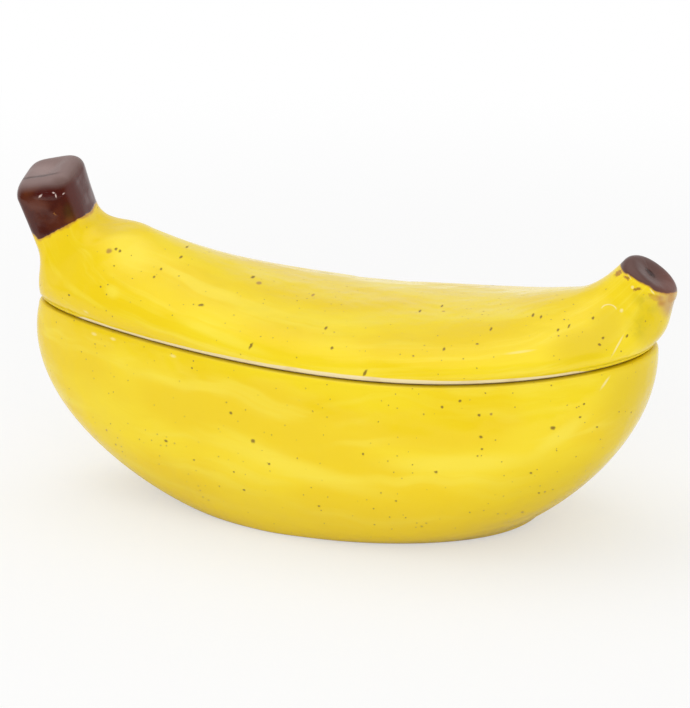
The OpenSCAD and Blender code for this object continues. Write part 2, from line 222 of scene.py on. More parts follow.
# Lid. A section is bottom, top, half width, squareness, half width at the bottom, rise of its ridges, tilt

def crown_z(x):
    if x < BELLY_X:
        return RIM_H + CROWN_H + CROWN_RISE_STEM * ((BELLY_X - x) / (BELLY_X - STEM_ROOT)) ** CROWN_POWER_STEM
    t = (x - BELLY_X) / (RIM_LEN - TIP_ROOT - BELLY_X)
    return RIM_H + CROWN_H + CROWN_RISE_TIP * t ** CROWN_POWER_TIP


def slant(c, slope, w, d, square, tilt):
    v = np.array([cos(slope), sin(slope)]) * w / 2
    return c - v, c + v, d / 2, square, 0, 0, tilt


STEM_END = np.array([LID_STEP, RIM_H + RISE_STEM])
TIP_END = np.array([RIM_LEN - LID_STEP, RIM_H + RISE_TIP])
STEM_BASE = STEM_END + [STEM_X, STEM_Z]
STEM_TOP = STEM_BASE + STEM_LEN * np.array([-sin(STEM_LEAN), cos(STEM_LEAN)])
TIP_MID = TIP_END + [-TIP_X, TIP_Z]


def arch(a, depth, edge, lift):
    bx = rim_x(a, edge)
    tx = mix(STEM_ROOT + depth, RIM_LEN - TIP_ROOT - depth, (bx - edge) / (RIM_LEN - 2 * edge))
    wr = rim_y(a, edge)
    w = half_width(mix(bx, tx, WIDEST_AT), LID_STEP) - depth
    ridge = 0 if depth > 0 else RIDGE_H * sin(a) ** 2
    return (np.array([bx, rim_z(a) + lift]), np.array([tx, crown_z(tx) - depth]), max(w, wr), BODY_SQUARE,
            max(wr, 0), ridge, 0)


def ring(s, cols):
    """Points of a section, and the angle of each down from its top"""
    arc = 180 - math.degrees(math.asin(min(1, s[4] / s[2]) ** (s[3] / 2)))
    low = abs(cos(arc)) ** (2 / s[3])
    half = (s[1] - s[0]) / (1 + low)
    c = s[0] + half * low
    up = unit(half)
    f = arc * (2 * np.arange(cols + 1) / cols - 1)
    # The quarter from the front to the top, which is the stem's front corner toward the blossom end
    square = np.where((f > -90) & (f < 0), min(s[3], STEM_SOFT_CORNER), s[3])
    r = s[5] * bump(np.abs(f), RIDGE_AT, RIDGE_SPREAD)
    cf, sf = np.cos(np.radians(f)), np.sin(np.radians(f))
    y = s[2] * spow(sf, 2 / square) + r * sf
    side = np.array([-up[1], up[0]])
    h = c + half * spow(cf, 2 / square)[:, None] + up * (r * cf)[:, None] + side * (s[6] * y)[:, None]
    return np.stack([h[:, 0], y, h[:, 1]], -1), f


def neck(start, end, lows, tops, grip, swell, t):
    reach_low = HANDLE * np.linalg.norm(end[0] - start[0])
    reach_top = HANDLE * np.linalg.norm(end[1] - start[1])
    return (bezier(start[0], start[0] + reach_low * lows[0], end[0] - reach_low * lows[1], end[0], t),
            bezier(start[1], start[1] + grip * tops[0], end[1] - reach_top * tops[1], end[1], t),
            bezier(start[2], start[2], end[2] - swell * reach_top, end[2], t),
            mix(start[3], end[3], t), 0, 0, start[6] * (1 - t) ** 2)


def crown_dir(x):
    return unit(np.array([1, crown_z(x + 1) - crown_z(x)]))


def stem_section(k, depth):
    width = STEM_W - 2 * depth - 2 * STEM_WAIST * sin(180 * k)
    return slant(mix(STEM_BASE, STEM_TOP, k), mix(BASE_SLOPE, STEM_FACE, k),
                 width, STEM_D - 2 * depth, STEM_SQUARE, STEM_TILT)


def tip_section(depth):
    return slant(TIP_MID - depth * np.array([sin(TIP_FACE), cos(TIP_FACE)]), 180 - TIP_FACE,
                 TIP_W - 2 * depth, TIP_D - 2 * depth, TIP_SQUARE, -TIP_TILT)


def end_cap(s, r, rise, hollow):
    """The sections of an end: its rounded edge, then its dished face, nearly to the middle"""
    v = s[1] - s[0]
    c = (s[0] + s[1]) / 2
    h = np.linalg.norm(v) / 2
    u = unit(v)
    n = np.array([-u[1], u[0]]) if u[0] > 0 else np.array([u[1], -u[0]])

    def face(inset, out, square):
        return c - u * (h - inset) + n * out, c + u * (h - inset) + n * out, s[2] - inset, square, 0, 0, s[6]

    steps = [90 * i / CAP_ROWS for i in range(1, CAP_ROWS + 1)]
    shares = [FACE_REACH * i / FACE_ROWS for i in range(1, FACE_ROWS + 1)]
    return ([face(r * (1 - cos(t)), rise * sin(t), s[3]) for t in steps]
            + [face(mix(r, min(h, s[2]), q), rise - hollow * ease(q), mix(s[3], 2, q)) for q in shares])


def skin(depth, edge, lift):
    root_a, root_b = arch(0, depth, edge, lift), arch(180, depth, edge, lift)
    stem, tip = stem_section(0, depth), tip_section(depth)
    near_a, near_b = arch(NEAR_ANGLE, depth, edge, lift), arch(180 - NEAR_ANGLE, depth, edge, lift)
    swell_a = (near_a[2] - root_a[2]) / (near_a[1][0] - root_a[1][0])
    swell_b = (near_b[2] - root_b[2]) / (root_b[1][0] - near_b[1][0])
    down = np.array([sin(STEM_LEAN), -cos(STEM_LEAN)])

    def back(lean):
        return -np.array([sin(lean), cos(lean)])

    lows_a, tops_a = [down, np.array([0, -1])], [down, crown_dir(root_a[1][0])]
    lows_b, tops_b = [back(TIP_LOW_LEAN), back(TIP_FLARE)], [back(TIP_TOP_LEAN), -crown_dir(root_b[1][0])]
    return ([neck(stem, root_a, lows_a, tops_a, STEM_GRIP, swell_a, i / NECK_ROWS) for i in range(NECK_ROWS)]
            + [arch(180 * i / ARCHES, depth, edge, lift) for i in range(ARCHES + 1)]
            + [neck(tip, root_b, lows_b, tops_b, TIP_GRIP, swell_b, i / NECK_ROWS)
               for i in range(NECK_ROWS - 1, -1, -1)])


def soften(rings, first):
    """The rows near the two roots drawn toward each other, which takes the crease out there"""
    rows = np.arange(1, len(rings) - 1)
    away = np.minimum(abs(rows - first), abs(rows - first - ARCHES))
    near = rows[away <= SOFT_ROWS]
    weight = SOFT_SHARE * (1 - ease(away[away <= SOFT_ROWS] / (SOFT_ROWS + 1)))[:, None, None]
    for _ in range(SOFT_TIMES):
        drawn = (rings[near - 1] + rings[near + 1]) / 2
        moved = mix(rings[near], drawn, weight)
        rings[near, 1:-1] = moved[:, 1:-1]
    return rings


stem_rings = (end_cap(stem_section(1, 0), STEM_ROUND, STEM_DOME, STEM_HOLLOW)[::-1]
              + [stem_section(1 - i / STEM_ROWS, 0) for i in range(STEM_ROWS)])
outer_sections = (stem_rings + skin(0, LID_STEP, SEAT_GAP + LIP_ROUND)
                  + end_cap(tip_section(0), TIP_ROUND, TIP_ROUND, TIP_HOLLOW))
FIRST_ARCH = len(stem_rings) + NECK_ROWS
FLANGE_OUT = DISH_WALL + FLANGE_GAP
FLANGE_IN = FLANGE_OUT + FLANGE_T

rings_and_angles = [ring(s, COLS) for s in outer_sections]
outer = soften(np.array([r for r, f in rings_and_angles]), FIRST_ARCH)
outer_angle = np.array([f for r, f in rings_and_angles])
hollow = soften(np.array([ring(s, HOLLOW_COLS)[0] for s in skin(LID_WALL, FLANGE_IN, 0)]), NECK_ROWS)
MID_X = (outer[:, :, 0].min() + outer[:, :, 0].max()) / 2


# Meshes. The glaze flows along the attribute flow: x, y and a height in millimetres along the surface

WALL_FLOW, CROWN_FLOW = 90, 45


def add_object(name, data):
    ob = bpy.data.objects.new(name, data)
    bpy.context.scene.collection.objects.link(ob)
    return ob


def make_piece(name, points, faces, attributes):
    """A closed piece from points in millimetres, its origin on the ground below the whole object's middle"""
    me = bpy.data.meshes.new(name)
    co = (np.asarray(points, float) - [MID_X, 0, 0]) * MM
    me.from_pydata(co.tolist(), [], faces)
    me.validate()
    me.update()
    for key, values in attributes.items():
        values = np.asarray(values, float)
        kind, field = ("FLOAT_VECTOR", "vector") if values.ndim == 2 else ("FLOAT", "value")
        layer = me.attributes.new(key, kind, "POINT")
        layer.data.foreach_set(field, values.ravel())
    me.shade_smooth()
    return add_object(name, me)


def build_dish():
    points, region, flow, drop = [], [], [], []
    loops = dish_loops()
    for f, where, k in loops:
        for i in range(AROUND):
            p = f(360 * i / AROUND)
            points.append(p)
            region.append(where)
            flow.append([p[0], p[1], WALL_FLOW * k])
            drop.append(rim_z(360 * i / AROUND) - p[2])
    faces = []
    for k in range(len(loops) - 1):
        for i in range(AROUND):
            a, b = k * AROUND + i, k * AROUND + (i + 1) % AROUND
            faces.append((a, b, b + AROUND, a + AROUND))
    last = (len(loops) - 1) * AROUND
    for row, turn in ((0, -1), (last, 1)):
        middle = len(points)
        points.append(np.mean(points[row:row + AROUND], 0))
        region.append(region[row])
        flow.append(flow[row])
        drop.append(drop[row])
        for i in range(AROUND):
            pair = (row + i, row + (i + 1) % AROUND)[::turn]
            faces.append((*pair, middle))
    region = np.array(region)
    return make_piece("dish_glazed", points, faces, {
        "bare": region == BARE, "inside": region == INSIDE, "flow": flow, "drop": drop})


# Under the lid: the height of the flange's first row, and the lip's values far above it and on the bare seat
FLANGE_ROW, NO_LIP, ALL_BARE = -2, 99.0, -9


def under_loops():
    """Inset and height of the loops under the lid, from its outer face to its hollow: edge, seat, flange"""
    turns = [90 * (k + 1) / LIP_ROWS for k in range(LIP_ROWS)]
    lip = [(LID_STEP + LIP_ROUND * (1 - cos(t)), SEAT_GAP + LIP_ROUND * (1 - sin(t))) for t in turns]
    seat = [(mix(LID_STEP + LIP_ROUND, FLANGE_OUT, q), SEAT_GAP) for q in (0.5, 1)]
    down = [(FLANGE_OUT, z) for z in (FLANGE_ROW, FLANGE_ROUND - FLANGE_H)]
    edge = [(FLANGE_OUT + FLANGE_ROUND * (1 - cos(t)), -FLANGE_H + FLANGE_ROUND * (1 - sin(t)))
            for t in (30, 60, 90)]
    back = [(FLANGE_IN - FLANGE_ROUND * (1 - sin(t)), -FLANGE_H + FLANGE_ROUND * (1 - cos(t)))
            for t in (0, 30, 60, 90)]
    return lip + seat + down + edge + back + [(FLANGE_IN, FLANGE_ROW)]


def build_lid():
    rows_o, rows_h = len(outer), len(hollow)
    co, ch = COLS + 1, HOLLOW_COLS + 1
    under = under_loops()
    n = 2 * ARCHES
    h0 = rows_o * co
    u0 = h0 + rows_h * ch
    angles = [180 * i / ARCHES for i in range(n)]
    under_points = np.array([[rim_point(a, inset, z) for a in angles] for inset, z in under])
    points = np.concatenate([outer.reshape(-1, 3), hollow.reshape(-1, 3), under_points.reshape(-1, 3)])

    def open_o(i):
        return FIRST_ARCH < i < FIRST_ARCH + ARCHES

    def open_h(i):
        return NECK_ROWS < i < NECK_ROWS + ARCHES

    def at_o(i, j):
        return i * co + (0 if j == COLS and not open_o(i) else j)

    def at_h(i, j):
        return h0 + i * ch + (0 if j == HOLLOW_COLS and not open_h(i) else j)

    faces = []

    def add(*ids):
        kept = [v for k, v in enumerate(ids) if v not in ids[:k]]
        if len(kept) > 2:
            faces.append(tuple(kept))

    for i in range(rows_o - 1):
        for j in range(COLS):
            add(at_o(i, j), at_o(i + 1, j), at_o(i + 1, j + 1), at_o(i, j + 1))
    for i in range(rows_h - 1):
        for j in range(HOLLOW_COLS):
            add(at_h(i, j), at_h(i, j + 1), at_h(i + 1, j + 1), at_h(i + 1, j))

    def open_edge(at, first, last):
        return [at(first + i, last) if i <= ARCHES else at(first + n - i, 0) for i in range(n)]

    rows = ([open_edge(at_o, FIRST_ARCH, COLS)]
            + [[u0 + k * n + i for i in range(n)] for k in range(len(under))]
            + [open_edge(at_h, NECK_ROWS, HOLLOW_COLS)])
    for k in range(len(rows) - 1):
        for i in range(n):
            m = (i + 1) % n
            add(rows[k][i], rows[k][m], rows[k + 1][m], rows[k + 1][i])
    # The middles of the two end faces and of the hollow's two ends
    extra = []
    for at, row, count, turn in ((at_o, 0, COLS, 1), (at_o, rows_o - 1, COLS, -1),
                                 (at_h, 0, HOLLOW_COLS, -1), (at_h, rows_h - 1, HOLLOW_COLS, 1)):
        ids = [at(row, j) for j in range(count)]
        middle = len(points) + len(extra)
        extra.append(points[ids].mean(0))
        for j in range(len(ids)):
            pair = (ids[j], ids[(j + 1) % len(ids)])[::turn]
            add(*pair, middle)
    points = np.concatenate([points, extra])

    total = len(points)
    inside = np.zeros(total, bool)
    inside[h0:u0] = True
    inside[u0 + LIP_ROWS * n:u0 + len(under) * n] = True
    inside[total - 2:] = True
    # Height above the lid's edge, along each arch, and below 0 on its rounding
    lip = np.full(total, NO_LIP)
    steps = np.linalg.norm(np.diff(outer, axis=1), axis=2)
    for i in range(FIRST_ARCH, FIRST_ARCH + ARCHES + 1):
        left = np.concatenate([[0], np.cumsum(steps[i])])
        right = np.concatenate([np.cumsum(steps[i][::-1])[::-1], [0]])
        lip[i * co:(i + 1) * co] = np.minimum(left, right)
    for k in range(len(under)):
        turned = -LIP_ROUND * math.pi / 2 * (k + 1) / LIP_ROWS
        lip[u0 + k * n:u0 + (k + 1) * n] = turned if k < LIP_ROWS else ALL_BARE
    flow = np.zeros((total, 3))
    flow[:, 0] = points[:, 0]
    flow[:, 1] = points[:, 1]
    flow[:h0, 2] = CROWN_FLOW * np.cos(np.radians(outer_angle)).ravel()
    flow[h0:, 2] = points[h0:, 2]
    return make_piece("lid_glazed", points, faces, {"inside": inside, "lip": lip, "flow": flow})


dish = build_dish()
lid = build_lid()


# The photograph's camera: elevation, turn toward the blossom end, distance from its aim in millimetres

IMAGE_W, IMAGE_H = 690, 708
FOCAL_PX = 2638.6
AXIS_BELOW_CENTRE_PX = 17.83
ELEVATION, TURN, DISTANCE = 19.54, 14.85, 853.24
AIM_X, AIM_Z = 104, 45
AIM = Vector((AIM_X - MID_X, 0, AIM_Z))
SIGHT = Vector((-sin(TURN) * cos(ELEVATION), cos(TURN) * cos(ELEVATION), -sin(ELEVATION)))
RIGHT = Vector((cos(TURN), sin(TURN), 0))
EYE = AIM - DISTANCE * SIGHT
SENSOR = 36
# Nearest and farthest that the camera sees, in metres
CLIP_START, CLIP_END = 0.05, 50


def add_camera():
    data = bpy.data.cameras.new("camera")
    data.sensor_fit = "HORIZONTAL"
    data.sensor_width = SENSOR
    data.lens = FOCAL_PX * SENSOR / IMAGE_W
    data.shift_y = AXIS_BELOW_CENTRE_PX / IMAGE_W
    data.clip_start = CLIP_START
    data.clip_end = CLIP_END
    ob = add_object("camera", data)
    ob.location = EYE * MM
    ob.rotation_euler = SIGHT.to_track_quat("-Z", "Y").to_euler()
    bpy.context.scene.camera = ob


def search_tree(piece):
    points = [p.co / MM for p in piece.data.vertices]
    return BVHTree.FromPolygons(points, [f.vertices for f in piece.data.polygons])


TREES = {dish: search_tree(dish), lid: search_tree(lid)}


def seen(piece, u, v):
    """The place in millimetres on a piece that the photograph shows at the pixel u, v"""
    below = v - IMAGE_H / 2 - AXIS_BELOW_CENTRE_PX
    way = FOCAL_PX * SIGHT + (u - IMAGE_W / 2) * RIGHT - below * RIGHT.cross(SIGHT)
    return TREES[piece].ray_cast(EYE, way.normalized())[0]


# Materials

class Net:
    """Builds the nodes of a material or world. Most calls take values or sockets and give a new one."""

    def __init__(self, owner):
        self.owner = owner
        owner.use_nodes = True
        self.tree = owner.node_tree
        self.tree.nodes.clear()

    def put(self, socket, value):
        if isinstance(value, bpy.types.NodeSocket):
            self.tree.links.new(value, socket)
        elif socket.type == "RGBA":
            socket.default_value = (*value, 1)
        else:
            socket.default_value = value

    def node(self, kind, inputs=None, **settings):
        """A new node, with a value or a socket for each named or numbered input"""
        n = self.tree.nodes.new(kind)
        for key, value in settings.items():
            setattr(n, key, value)
        for key, value in (inputs or {}).items():
            self.put(n.inputs[key], value)
        return n

    def math(self, op, a, b=0.0):
        return self.node("ShaderNodeMath", {0: a, 1: b}, operation=op).outputs[0]

    def vector(self, op, a, b=(0, 0, 0)):
        n = self.node("ShaderNodeVectorMath", {0: a, "Scale" if op == "SCALE" else 1: b}, operation=op)
        return n.outputs["Value" if op in ("LENGTH", "DOT_PRODUCT") else "Vector"]

    def split(self, vec):
        return self.node("ShaderNodeSeparateXYZ", {0: vec}).outputs[:]

    def attribute(self, name, output="Fac"):
        return self.node("ShaderNodeAttribute", attribute_name=name).outputs[output]

    def noise(self, vec, scale=1.0, detail=2.0, rough=0.5, output="Fac"):
        inputs = {"Vector": vec, "Scale": scale, "Detail": detail, "Roughness": rough}
        return self.node("ShaderNodeTexNoise", inputs).outputs[output]

    def uneven(self, vec, scale, size):
        """Noise around 0, of about the given size to each side. Plain noise strays from 0.5 by a quarter."""
        return self.times(4 * size, self.math("SUBTRACT", self.noise(vec, scale), 0.5))

    def step(self, value, low, high):
        """0 below low, 1 above high, smooth between them; low may be above high"""
        inputs = {"Value": value, "From Min": low, "From Max": high}
        return self.node("ShaderNodeMapRange", inputs, interpolation_type="SMOOTHSTEP").outputs[0]

    def mix(self, share, a, b):
        """Two colours mixed"""
        return self.node("ShaderNodeMix", {"Factor": share, 6: a, 7: b}, data_type="RGBA").outputs[2]

    def over(self, colour, tone, share, mask):
        """The colour with a share of the tone over it, where the mask is 1"""
        return self.mix(self.times(share, mask), colour, tone)

    def blend(self, share, a, b):
        """Two numbers mixed"""
        return self.node("ShaderNodeMix", {"Factor": share, 2: a, 3: b}, data_type="FLOAT").outputs[0]

    def fold(self, op, values):
        total = values[0]
        for value in values[1:]:
            total = self.math(op, total, value)
        return total

    def add(self, *values):
        return self.fold("ADD", values)

    def times(self, *values):
        return self.fold("MULTIPLY", values)

    def most(self, *values):
        return self.fold("MAXIMUM", values)

    def patch(self, place, centre, half, tilt=0.0):
        """Distance from a centre, 1 on an ellipsoid of the given half sizes, tilted up along the length"""
        turn = (0, math.radians(-tilt), 0)
        inputs = {"Vector": place, "Location": centre, "Rotation": turn, "Scale": half}
        return self.vector("LENGTH", self.node("ShaderNodeMapping", inputs, vector_type="TEXTURE").outputs[0])

    def output(self, shader, kind="ShaderNodeOutputMaterial"):
        """The shader becomes that of the material or world, which is given back"""
        self.node(kind, {"Surface": shader.outputs[0]})
        return self.owner

    def finish(self, colour, rough, height):
        """The material from its colour, its roughness and its relief in millimetres"""
        relief = self.node("ShaderNodeBump", {"Strength": 1, "Distance": MM, "Height": height})
        return self.output(self.node("ShaderNodeBsdfPrincipled", {
            "Specular IOR Level": GLAZE_SPECULAR, "Base Color": colour, "Roughness": rough,
            "Normal": relief.outputs[0]}))


# Colours, in linear light
YELLOW = (0.9, 0.69, 0.012)
DEEP_YELLOW = (0.86, 0.62, 0.002)
PALE_YELLOW = (0.925, 0.755, 0.06)
DULL_YELLOW = (0.77, 0.565, 0.004)
# Painted shade toward the bottom of the dish
BOTTOM_SHADE_OCHRE = (0.76, 0.55, 0.02)
# Thin glaze at the rim's edge, and painted shade of the seam under the lid
EDGE_GLAZE_AND_SEAM_SHADE = (0.36, 0.24, 0.002)
# Pale colour of the painted highlights and reflections, and of a pale glaze edge by the blossom end
PALE_GLAZE_AND_HIGHLIGHT = (0.96, 0.86, 0.45)
SPECK_LIGHT = (0.365, 0.212, 0.001)
SPECK_DARK = (0.14, 0.062, 0.001)
SPECK_PINK = (0.4, 0.2, 0.04)
CLAY = (0.88, 0.75, 0.44)
CLAY_DARK = (0.8, 0.64, 0.34)
INNER_GLAZE = (0.86, 0.79, 0.62)
BROWN = (0.06, 0.007, 0.002)
BROWN_LIGHT = (0.09, 0.016, 0.004)
BROWN_RED = (0.06, 0.003, 0.001)
BROWN_SPOT = (0.24, 0.07, 0.01)
BROWN_OLIVE = (0.07, 0.028, 0.002)
# Painted shading: the lighter brown of the stem's faces turned to the sides
BROWN_SIDE_SHADING = (0.075, 0.007, 0.002)
BROWN_PALE = (0.125, 0.034, 0.018)
# Painted reflection on the stem's top faces, with a paler painted highlight and a darker part
STEM_TOP_REFLECTION = (0.23, 0.152, 0.14)
STEM_TOP_HIGHLIGHT = (0.34, 0.24, 0.225)
STEM_TOP_DIM_REFLECTION = (0.14, 0.078, 0.066)
# Painted shade in the crease across the stem's end and in the blossom end's slit
RECESS_SHADE = (0.03, 0.01, 0.008)
TIP_BROWN = (0.105, 0.045, 0.036)
TIP_RED = (0.15, 0.05, 0.035)
RUST = (0.48, 0.19, 0.03)
DAB = (0.3, 0.13, 0.02)
GLINT = (0.95, 0.76, 0.7)
TAN = (0.56, 0.33, 0.13)
OLIVE = (0.64, 0.5, 0.015)

GLAZE_SPECULAR = 0.4
# Roughness: the least of the glaze, what noise adds, and that of other surfaces
GLAZE_ROUGH, ROUGH_SPREAD, SPECK_ROUGH, CLAY_ROUGH = 0.12, 0.12, 0.45, 0.85
STEM_ROUGH, STEM_TOP_ROUGH, TIP_ROUGH = 0.13, 0.4, 0.3
# Relief in millimetres: of the glaze's waves, ripples, streaks and specks, of the clay, and of the marks
WAVE_HIGH, RIPPLE_HIGH, STREAK_HIGH, SPECK_HIGH, CLAY_HIGH = 1, 0.07, 0.08, -0.04, 0.06
BROWN_HIGH, CREASE_HIGH, WRINKLE_HIGH, SLIT_HIGH, HIGHLIGHT_HIGH, RIDGE_HIGH = 0.12, -0.05, 0.45, -0.5, 0.06, 0.1
# Scales of the glaze's noise, which is stretched along the length
BROAD_SCALE, STREAK_SCALE, FINE_SCALE = (0.018, 0.03, 0.045), (0.014, 0.05, 0.13), (0.03, 0.12, 0.6)
# How far the streaks wander and the specks' outlines wobble, in millimetres, and at which scale of noise
DRIFT, DRIFT_SCALE, WOBBLE, WOBBLE_SCALE = 18, 0.03, 0.5, 1.3
# Heights in millimetres where the glaze begins to turn to ochre, a painted shade toward the bottom, and where
# it has
OCHRE_FROM, OCHRE_TO = 28, 2.0
# Random specks: size of a cell, largest radius, share of the cells, and where the pattern starts
SMALL_SPECKS, MIDDLE_SPECKS, MIDDLE_START = (2.7, 0.42, 0.8), (7.5, 0.75, 0.5), (31, 17, 5)


def spots(net, place, cell, radius, share):
    """Round specks of up to the radius, in a share of the cells: mask and a random number"""
    n = net.node("ShaderNodeTexVoronoi", {"Vector": place, "Scale": 1 / cell})
    random = net.node("ShaderNodeSeparateColor", {0: n.outputs["Color"]}).outputs
    r = net.times(radius / cell, net.add(0.5, net.times(0.5, random[0])))
    there = net.math("LESS_THAN", random[1], share)
    return net.times(there, net.step(n.outputs["Distance"], r, net.times(r, 0.4))), random[2]


# Glaze specks that stand out in the photograph: pixel, half length, half width, and for some a tilt
MARKS_LID = (
    (116, 249, 0.55, 0.4), (120, 251, 0.5, 0.4), (253, 277, 0.75, 0.5, 20), (181, 257, 0.45, 0.4),
    (161, 269, 0.4, 0.35), (154, 277, 0.4, 0.35), (69, 295, 0.45, 0.4), (201, 305, 1, 0.3),
    (326, 328, 0.5, 0.45), (251, 346, 1.2, 0.45, 60), (332, 348, 0.5, 0.45), (187, 247, 0.4, 0.35),
    (533, 315, 0.5, 0.45), (541, 317, 0.45, 0.4), (442, 306, 0.4, 0.35), (420, 311, 0.4, 0.35),
    (491, 329, 0.45, 0.4), (558, 330, 0.45, 0.4), (569, 326, 0.8, 0.3, 60), (444, 349, 0.5, 0.45),
    (365, 373, 1.3, 0.45, 60), (593, 318, 0.45, 0.35), (603, 338, 0.4, 0.35), (627, 336, 0.5, 0.35, 60),
)
PINK_LID = ((109, 251, 1.05, 0.8), (259, 283, 0.95, 0.8), (313, 295, 0.5, 0.4))
MARKS_DISH = (
    (166, 441, 0.75, 0.5), (231, 413, 0.6, 0.55), (253, 441, 0.85, 0.75), (269, 464, 0.5, 0.45),
    (234, 472, 0.4, 0.35), (244, 490, 0.5, 0.4), (194, 460, 0.4, 0.35), (319, 506, 0.45, 0.4),
    (192, 368, 0.4, 0.35), (442, 407, 0.5, 0.45), (460, 401, 0.5, 0.45), (479, 415, 0.55, 0.5),
    (481, 437, 0.6, 0.5), (482, 449, 0.4, 0.35), (436, 472, 0.55, 0.5), (553, 428, 0.85, 0.7),
    (580, 417, 0.45, 0.4), (584, 404, 0.4, 0.35), (531, 473, 0.45, 0.4), (539, 493, 0.4, 0.35),
    (363, 454, 0.45, 0.4), (396, 501, 0.45, 0.4), (597, 427, 0.4, 0.35),
)
# Their half depth
MARK_DEPTH = 1.5

# Soft patches: share, colour, and for each its pixel, half length, depth and height in millimetres, and tilt
# On the dish, the deep band and the pale strip under it are partly glaze tone, and partly painted shade above
# a soft ridge and a painted highlight along it
DISH_PATCHES = (
    (0.9, DEEP_YELLOW, (170, 400, (22, 30, 6), -20), (290, 442, (42, 30, 7), -14),
     (440, 440, (30, 30, 6), 2)),
    (0.65, PALE_YELLOW, (300, 470, (40, 30, 5), -10), (460, 464, (34, 30, 4.5), 4),
     (560, 436, (14, 30, 3.5), 38)),
    (0.8, DULL_YELLOW, (560, 490, (50, 40, 20), 15), (632, 400, (14, 30, 22))),
)
LID_PATCHES = (
    (0.9, DEEP_YELLOW, (70, 262, (6, 20, 12)), (585, 345, (18, 14, 7), 18)),
    (0.65, PALE_YELLOW, (130, 252, (14, 14, 7), -35), (112, 292, (4, 14, 2.5), -15),
     (220, 336, (24, 14, 2.2), -12)),
    (0.8, DULL_YELLOW, (652, 325, (7, 14, 12)), (608, 322, (8, 14, 8)), (585, 345, (18, 14, 7), 18)),
)
STEM_PATCHES = (
    (0.8, BROWN_PALE, (37, 204, (5.5, 5, 3.5))),
    (0.9, BROWN_RED, (48, 194, (9.5, 5, 2.2), 2)),
    (0.6, BROWN_SPOT, (74, 217, (4.5, 6, 2.4), 32)),
    (0.8, BROWN_OLIVE, (71, 211, (3.4, 5, 4.5))),
    (0.15, BROWN_SPOT, (28, 193, (3, 4, 1.8), 15)),
)
# Places of the painted highlight and of the darker painted reflection on the stem's top
STEM_TOP_HIGHLIGHT_AT, STEM_TOP_DIM_AT = (44, 171, (7, 6, 6)), (62, 182, (5, 5, 2.6), -5)
STEM_EDGE_STAIN, STEM_WRINKLES = (66, 223, (4, 5, 1), 28), (48, 195, (9.5, 5, 1.9), 2)
# A small raised streak by the blossom end, with a painted highlight along it
DISH_RIDGE_HIGHLIGHT = (605, 383, (0.5, 4, 3.2), -32)

# Marks, the strongest of which counts: share, pixel, half sizes, tilt, and for some how much of them is full
# Painted reflections: small pale marks on the dish's rim rounding
DISH_HIGHLIGHTS = tuple((1, u, v, (1.5, 3, 0.7), -4) for u, v in ((94, 334), (113, 339), (173, 356)))
# Painted highlights: thin streaks and a dot of light on the lid's glaze, and a soft pale reflection by the
# stem end
LID_HIGHLIGHTS = (
    (1, 618, 345, (0.4, 6, 5.5), -26), (0.6, 520, 352, (6.5, 5, 0.4), 8),
    (0.6, 86, 312, (1.5, 3, 0.6), -15), (1, 621.5, 310.5, (0.75, 3, 0.75)),
)
TAN_SMUDGES = ((1, 671, 303, (8, 9, 5), -66, 0.3), (1, 662, 298, (3.6, 5, 2.4), -40, 0))
OLIVE_SMUDGES = ((1, 648, 304, (7.5, 6, 4.5), -35, 0.1), (1, 638, 326, (5, 6, 8), 0, 0))
RUST_SMUDGES = ((1, 661.5, 303, (2.8, 3, 1.7), -60, 0),)
RUST_DABS = ((0.6, 656, 298, (2.6, 3, 1.2), -20), (0.5, 671, 299, (2, 3, 1), -75))
BROWN_DABS = (
    (1, 618.5, 273, (2, 3, 0.75), 35), (1, 626.5, 277.5, (1.5, 3, 0.55), -5),
    (1, 637.5, 289, (1.6, 3, 0.7), 20), (0.5, 649.5, 294.5, (1, 3, 0.45), -40),
)
# By the blossom's brown edge: a pale glaze edge, and painted glints beside the brown dabs
PALE_EDGE_AND_GLINTS = (
    (1, 652.3, 291.5, (1.5, 2, 0.3), -48), (1, 629, 276.5, (1.5, 2, 0.3), -45),
    (1, 633, 287.5, (0.6, 2, 0.7), 0),
)
STEM_GLINTS = (
    (1, 40.2, 196.2, (1.3, 3, 0.4), 50, 0.1), (1, 56.1, 195.8, (1, 3, 0.35), -78, 0.1),
    (1, 53.8, 192.8, (0.6, 3, 0.35), 0, 0.1), (1, 63.3, 194, (0.5, 3, 0.3), 40, 0),
)
# A painted orange glint on the stem's front
STEM_ORANGE_GLINT = ((1, 54.5, 214, (0.7, 3, 0.4), -40),)
# The slit's pixel and half sizes, and the pixel, radius and width of the thin ring of light
SLIT_AT, SLIT_HALF = (650.5, 273.2), (2.7, 1.5, 3)
ARC_AT, ARC_RADIUS, ARC_WIDTH = (608.7, 310), 2.3, 0.35


def marks(net, place, piece, table):
    """A mask of the named specks"""
    gaps = [net.patch(place, seen(piece, u, v), (long, MARK_DEPTH, wide), *tilt)
            for u, v, long, wide, *tilt in table]
    return net.step(net.fold("MINIMUM", gaps), 1.25, 0.45)


def cloud(net, mm, piece, u, v, half, tilt=0.0):
    """A soft patch around what the photograph shows at a pixel: 1 in its middle, 0 at its edge"""
    return net.step(net.patch(mm, seen(piece, u, v), half, tilt), 1.0, 0.2)


def tint(net, mm, piece, colour, patches):
    """The colour with soft patches over it"""
    for share, tone, *places in patches:
        for place in places:
            colour = net.over(colour, tone, share, cloud(net, mm, piece, *place))
    return colour


def strongest(net, shape, *tables):
    """The most of all marks in the tables, each drawn by the shape and weakened to its share"""
    return net.most(*(net.times(share, shape(*mark)) for table in tables for share, *mark in table))


